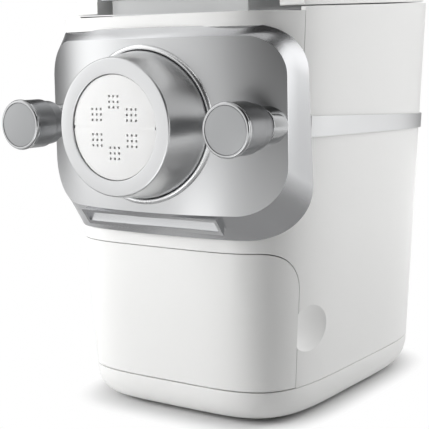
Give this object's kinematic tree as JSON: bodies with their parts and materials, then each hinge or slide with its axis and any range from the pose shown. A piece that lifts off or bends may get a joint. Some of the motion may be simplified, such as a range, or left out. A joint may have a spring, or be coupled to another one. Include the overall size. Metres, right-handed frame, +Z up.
{
  "type": "electric pasta maker",
  "caption": "Electric pasta maker: tapered white housing, bowed metal front plate with shaping disc and clamp knobs, clear mixing chamber, sloping control tower and an accessory drawer.",
  "frame": {"origin": "on the table, under the middle of the whole machine's width and depth", "axes": "+Z up, +Y to the machine's back, so the dial faces -Y and +X is to the right of someone facing the dial"},
  "size_m": [0.1862, 0.2674, 0.31],
  "materials": {
    "housing": "semi-gloss moulded white",
    "inner_white": "plain moulded",
    "deck": "plain moulded",
    "foot": "matt",
    "steel": "plain bright zinc",
    "band": "satin silver",
    "gland": "matt",
    "plate": "satin, evenly blasted",
    "bezel": "satin plated",
    "bead": "bright",
    "dial": "satin silver",
    "disc": "semi-gloss white",
    "boss": "bright",
    "knob": "satin silver",
    "knob_face": "satin gray",
    "tube": "plain moulded",
    "seal": "matt",
    "auger": "semi-gloss white",
    "chamber": "clear",
    "lid_clear": "clear",
    "panel": "dark gray, glossy",
    "display": "black, glossy",
    "button": "satin silver",
    "board": "green laminate",
    "casting": "cast, matt",
    "brass": "turned",
    "gear": "natural moulded",
    "motor": "zinc plated",
    "copper": "laminated steel with copper windings",
    "fan": "plain moulded"
  },
  "bodies": {
    "machine": {"rear_housing": "housing", "left_side_panel": "housing", "right_side_panel": "housing", "front_housing": "housing", "base_plinth": "housing", "base_deck": "deck", "rubber_feet": "foot", "base_screws": "steel", "side_band": "band", "cord_grommet": "gland", "drawer_rails": "steel", "clamp_studs": "steel", "extrusion_tube": "tube", "tube_seal": "seal", "mixing_chamber": "chamber", "shaft_seal": "seal", "tower_housing": "housing", "control_panel": "panel", "display_window": "display", "circuit_board": "board", "chassis_deck": "deck", "bearing_block": "casting", "shaft_bearing": "brass", "shaft_bushes": "brass", "gear_frame": "casting", "gear_cover": "inner_white", "gear_screws": "steel", "motor_can": "motor", "motor_end_bell": "casting", "motor_stator": "copper"},
    "drawer": {"drawer_front": "housing", "drawer_tray": "inner_white"},
    "front_plate": {"plate_face": "plate", "plate_bezel": "bezel", "plate_lip": "bead", "dial_ring": "dial", "shaping_disc": "disc", "left_boss": "boss", "right_boss": "boss"},
    "left_knob_body": {"left_knob": "knob", "left_knob_cap": "knob_face"},
    "right_knob_body": {"right_knob": "knob", "right_knob_cap": "knob_face"},
    "screw": {"extrusion_screw": "auger", "mixing_paddle": "auger", "drive_shaft": "steel", "screw_gear": "gear"},
    "intermediate": {"intermediate_gear": "gear", "intermediate_shaft": "steel"},
    "rotor": {"motor_armature": "copper", "motor_pinion": "steel", "cooling_fan": "fan"},
    "lid": {"lid_frame": "housing", "lid_window": "lid_clear"},
    "power_button_body": {"power_button": "button"},
    "start_button_body": {"start_button": "button"},
    "program_button_body": {"program_button": "button"},
    "minus_button_body": {"minus_button": "button"},
    "plus_button_body": {"plus_button": "button"}
  },
  "joints": [
    {"name": "drawer_slide", "type": "slide", "parent": "machine", "child": "drawer", "axis": [0, -1, 0], "range_m": [0, 0.062]},
    {"name": "plate_release", "type": "slide", "parent": "machine", "child": "front_plate", "axis": [0, -1, 0], "range_m": [0, 0.06]},
    {"name": "left_knob_turn", "type": "hinge", "parent": "front_plate", "child": "left_knob_body", "pos_m": [-0.075, -0.1, 0.18], "axis": [0, -1, 0], "range_deg": [0, 720]},
    {"name": "right_knob_turn", "type": "hinge", "parent": "front_plate", "child": "right_knob_body", "pos_m": [0.075, -0.1, 0.18], "axis": [0, -1, 0], "range_deg": [0, 720]},
    {"name": "screw_spin", "type": "hinge", "parent": "machine", "child": "screw", "pos_m": [0, 0, 0.18], "axis": [0, 1, 0], "continuous": true},
    {"name": "intermediate_spin", "type": "hinge", "parent": "machine", "child": "intermediate", "pos_m": [0, 0, 0.1275], "axis": [0, 1, 0], "continuous": true},
    {"name": "rotor_spin", "type": "hinge", "parent": "machine", "child": "rotor", "pos_m": [0, 0, 0.075], "axis": [0, 1, 0], "continuous": true},
    {"name": "lid_lift", "type": "slide", "parent": "machine", "child": "lid", "axis": [0, 0, 1], "range_m": [0, 0.06]},
    {"name": "power_press", "type": "slide", "parent": "machine", "child": "power_button_body", "axis": [0, 0.7071, -0.7071], "range_m": [0, 0.001], "stiffness_N_per_m": 800, "springref_m": -0.001},
    {"name": "start_press", "type": "slide", "parent": "machine", "child": "start_button_body", "axis": [0, 0.7071, -0.7071], "range_m": [0, 0.001], "stiffness_N_per_m": 800, "springref_m": -0.001},
    {"name": "program_press", "type": "slide", "parent": "machine", "child": "program_button_body", "axis": [0, 0.7071, -0.7071], "range_m": [0, 0.001], "stiffness_N_per_m": 800, "springref_m": -0.001},
    {"name": "minus_press", "type": "slide", "parent": "machine", "child": "minus_button_body", "axis": [0, 0.7071, -0.7071], "range_m": [0, 0.001], "stiffness_N_per_m": 800, "springref_m": -0.001},
    {"name": "plus_press", "type": "slide", "parent": "machine", "child": "plus_button_body", "axis": [0, 0.7071, -0.7071], "range_m": [0, 0.001], "stiffness_N_per_m": 800, "springref_m": -0.001}
  ],
  "couplings": [
    {"joint": "intermediate_spin", "follows": "screw_spin", "ratio": -4},
    {"joint": "rotor_spin", "follows": "screw_spin", "ratio": 24}
  ]
}
